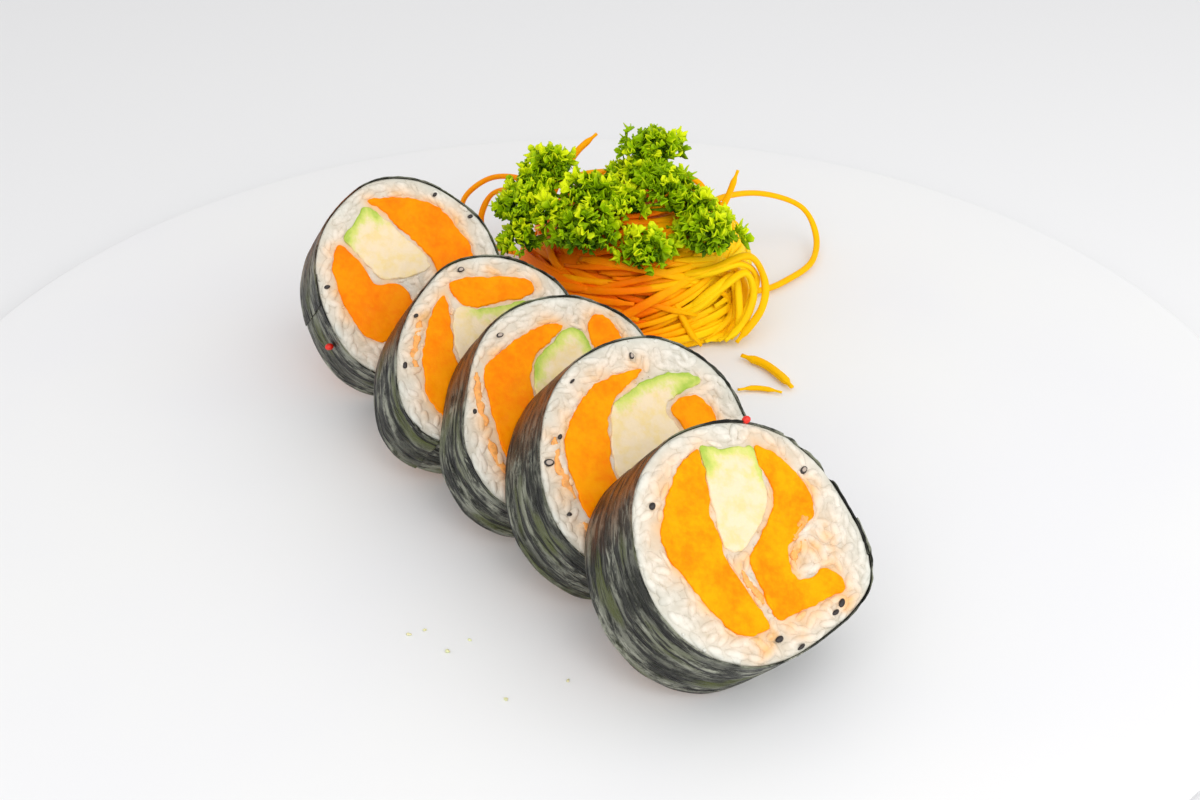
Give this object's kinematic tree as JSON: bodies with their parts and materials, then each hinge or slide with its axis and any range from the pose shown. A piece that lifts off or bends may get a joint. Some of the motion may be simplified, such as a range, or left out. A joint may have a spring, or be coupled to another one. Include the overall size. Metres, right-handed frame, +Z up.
{
  "type": "sweet potato maki on a plate",
  "caption": "Thick sushi roll cut into leaning slices with sweet potato and avocado, beside a carrot nest with parsley, on a flat round plate.",
  "frame": {"origin": "centre of the plate's flat underside", "axes": "+X to the viewer's right, +Y away from the viewer, towards the carrot nest, +Z up"},
  "size_m": [0.3516, 0.3516, 0.0609],
  "materials": {
    "plate": "white glazed porcelain",
    "nori": "dry fibrous seaweed sheet",
    "rice": "moist cooked grains with seeds",
    "potato": "moist cut sweet potato",
    "avocado": "creamy flesh, green at its rim",
    "carrot": "fresh wet shreds",
    "parsley": "fresh curly leaves"
  },
  "bodies": {
    "root": {"plate": "plate", "nori_1": "nori", "nori_2": "nori", "nori_3": "nori", "nori_4": "nori", "nori_5": "nori", "rice_1": "rice", "rice_2": "rice", "rice_3": "rice", "rice_4": "rice", "rice_5": "rice", "potato_1_left": "potato", "potato_1_right": "potato", "potato_2_left": "potato", "potato_2_right": "potato", "potato_3_left": "potato", "potato_3_right": "potato", "potato_4_top": "potato", "potato_4_left": "potato", "potato_5_right": "potato", "potato_5_left": "potato", "avocado_1": "avocado", "avocado_2": "avocado", "avocado_3": "avocado", "avocado_4": "avocado", "avocado_5": "avocado", "carrot_nest": "carrot", "carrot_curl_thick": "carrot", "carrot_curl_thin": "carrot", "parsley": "parsley"}
  },
  "joints": []
}
